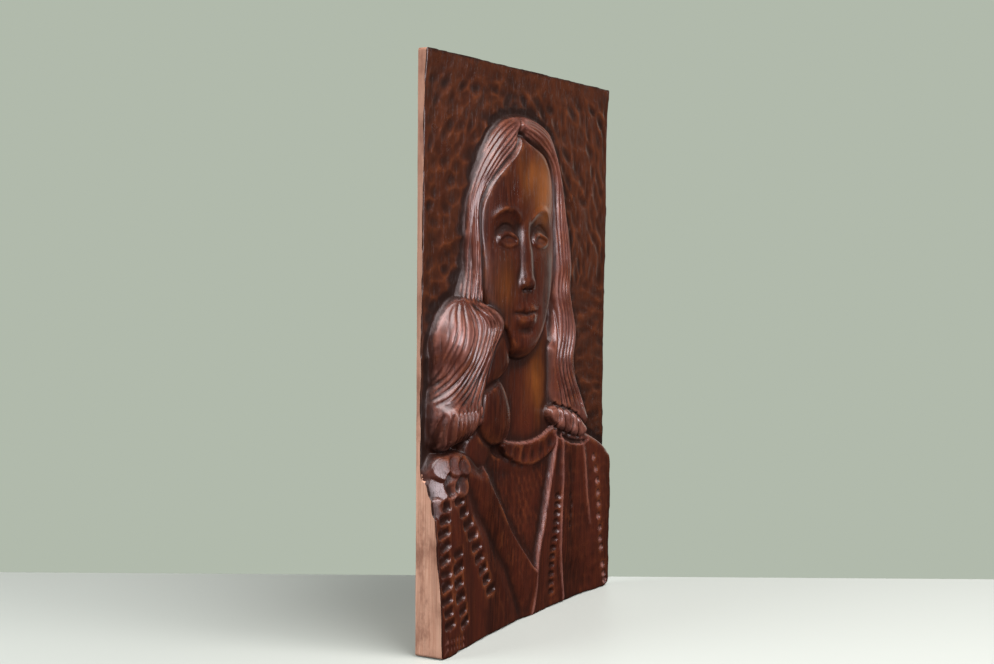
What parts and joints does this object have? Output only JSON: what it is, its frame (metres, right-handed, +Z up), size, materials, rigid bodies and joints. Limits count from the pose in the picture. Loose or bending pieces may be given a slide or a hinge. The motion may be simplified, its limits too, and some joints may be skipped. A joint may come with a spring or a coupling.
{
  "type": "carved wall panel",
  "caption": "Upright wooden plank carved in relief with a long-haired mother and a child turned away at her shoulder; made to hang on a wall.",
  "frame": {"origin": "middle of the flat back, where it lies against the wall", "axes": "+Z up, along the plank's longest side; +Y into the wall, so the carved front faces -Y; +X to the right as seen from the front"},
  "size_m": [0.34, 0.0265, 0.5],
  "materials": {
    "carved_wood": "dark stained, satin waxed, worn lighter on the tool marks and sawn edges"
  },
  "bodies": {
    "root": {"carved_panel": "carved_wood"}
  },
  "joints": []
}
